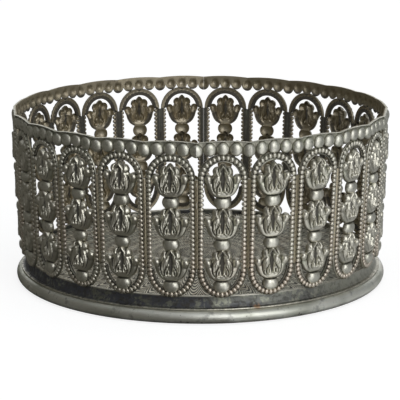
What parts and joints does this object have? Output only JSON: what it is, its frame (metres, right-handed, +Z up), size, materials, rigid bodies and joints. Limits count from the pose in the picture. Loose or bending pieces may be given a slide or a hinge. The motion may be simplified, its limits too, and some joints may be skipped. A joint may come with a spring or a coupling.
{
  "type": "wine bottle coaster",
  "caption": "Round silver-plated bottle coaster with a pierced gallery of beaded loops and tulip drops under a beaded rim, on a moulded foot with a felt underside",
  "frame": {"origin": "middle of the underside of the felt pad, which is the middle of the coaster's base", "axes": "+Z up along the axis of the coaster, front of the pictured view towards -Y, +X to its right"},
  "size_m": [0.1328, 0.1328, 0.0608],
  "materials": {
    "gallery_metal": "silver plated, tarnished, dark in the recesses",
    "foot_metal": "silver plated, satin, oxidised neck",
    "floor_metal": "silver plated, finely hatched, dull",
    "board": "bare board",
    "felt": "dark green felt"
  },
  "bodies": {
    "root": {"base_shell": "foot_metal", "foot_ring": "foot_metal", "floor_plate": "floor_metal", "bottom_board": "board", "felt_pad": "felt", "panel_01": "gallery_metal", "panel_02": "gallery_metal", "panel_03": "gallery_metal", "panel_04": "gallery_metal", "panel_05": "gallery_metal", "panel_06": "gallery_metal", "panel_07": "gallery_metal", "panel_08": "gallery_metal", "panel_09": "gallery_metal", "panel_10": "gallery_metal", "panel_11": "gallery_metal", "panel_12": "gallery_metal", "panel_13": "gallery_metal", "panel_14": "gallery_metal", "panel_15": "gallery_metal", "panel_16": "gallery_metal", "panel_17": "gallery_metal", "panel_18": "gallery_metal", "panel_19": "gallery_metal", "panel_20": "gallery_metal", "panel_21": "gallery_metal", "panel_22": "gallery_metal", "panel_23": "gallery_metal", "panel_24": "gallery_metal"}
  },
  "joints": []
}
